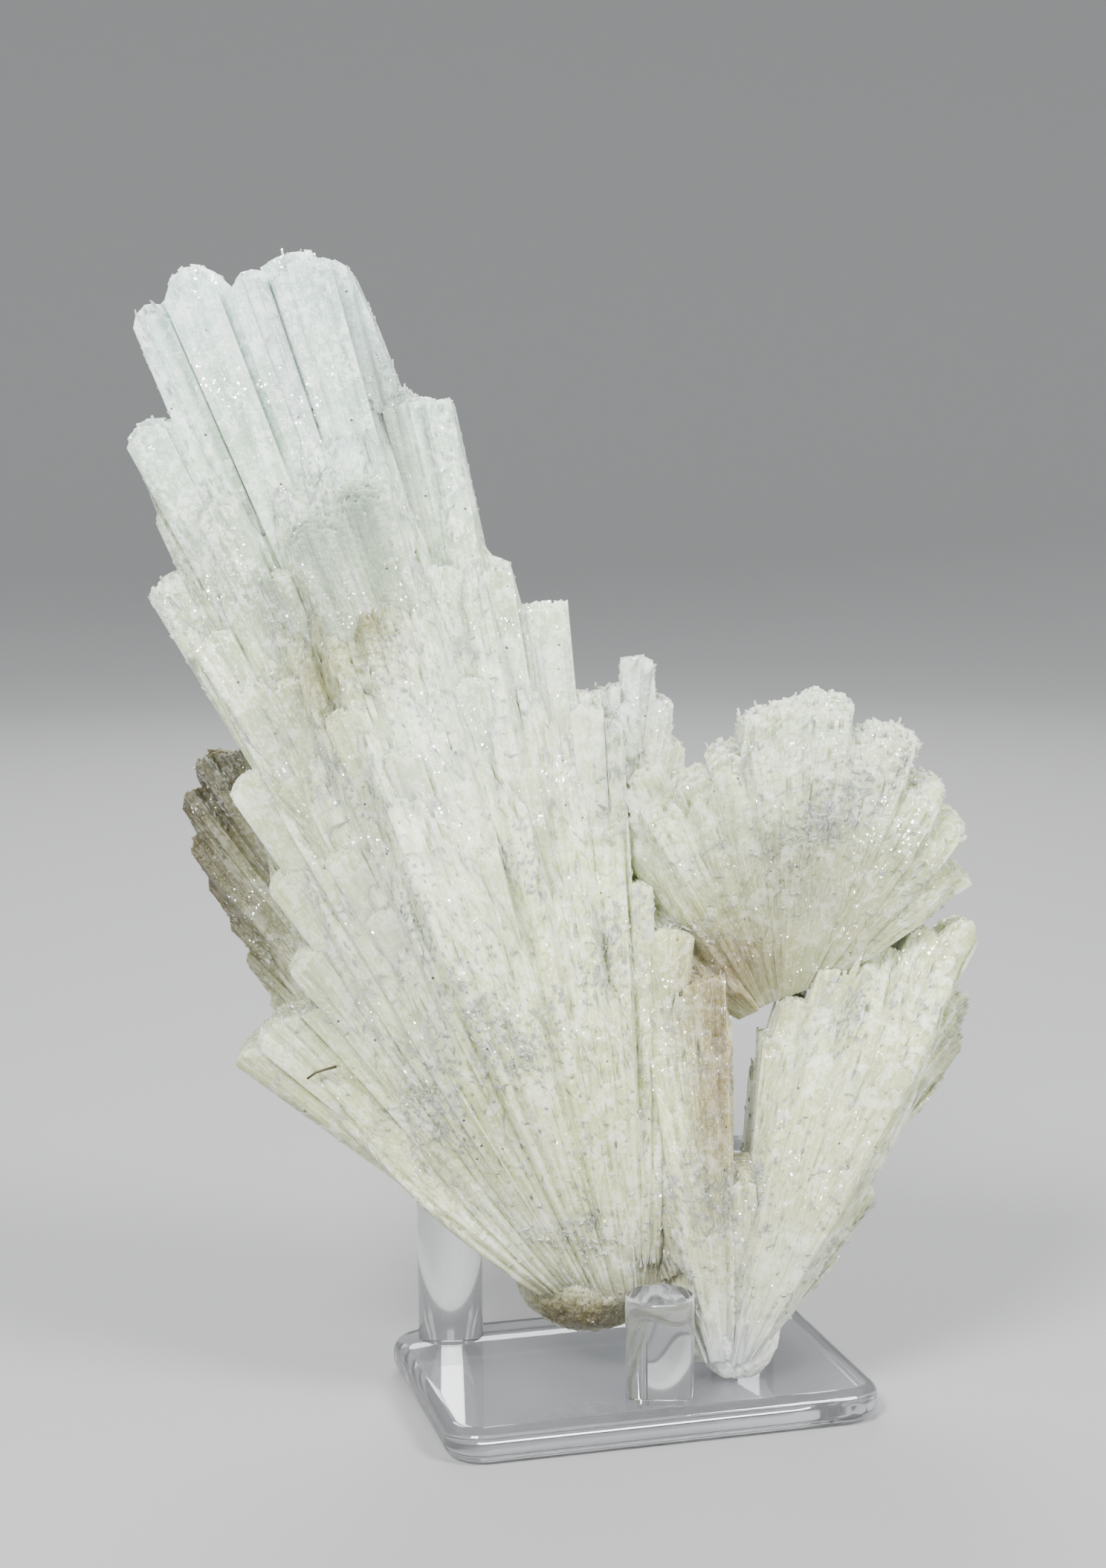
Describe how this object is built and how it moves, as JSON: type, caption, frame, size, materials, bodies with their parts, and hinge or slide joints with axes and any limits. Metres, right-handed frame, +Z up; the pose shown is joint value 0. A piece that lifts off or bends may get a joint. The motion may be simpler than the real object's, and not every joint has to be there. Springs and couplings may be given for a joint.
{
  "type": "scolecite specimen on stand",
  "caption": "White scolecite: radiating sprays of long flat-sided crystals grown into one solid, resting on a clear plate and leaning on clear pegs.",
  "frame": {"origin": "centre of the underside of the stand's plate", "axes": "+X along the plate's long side, +Y from the front peg to the rear pegs, +Z up"},
  "size_m": [0.1199, 0.068, 0.1625],
  "materials": {
    "scolecite": "milky, slightly see-through crystal with fine lengthwise grooves and glassy faces",
    "clear_acrylic": "clear polished acrylic"
  },
  "bodies": {
    "root": {"scolecite": "scolecite", "stand_base": "clear_acrylic", "front_peg": "clear_acrylic", "rear_left_peg": "clear_acrylic", "rear_right_peg": "clear_acrylic"}
  },
  "joints": []
}
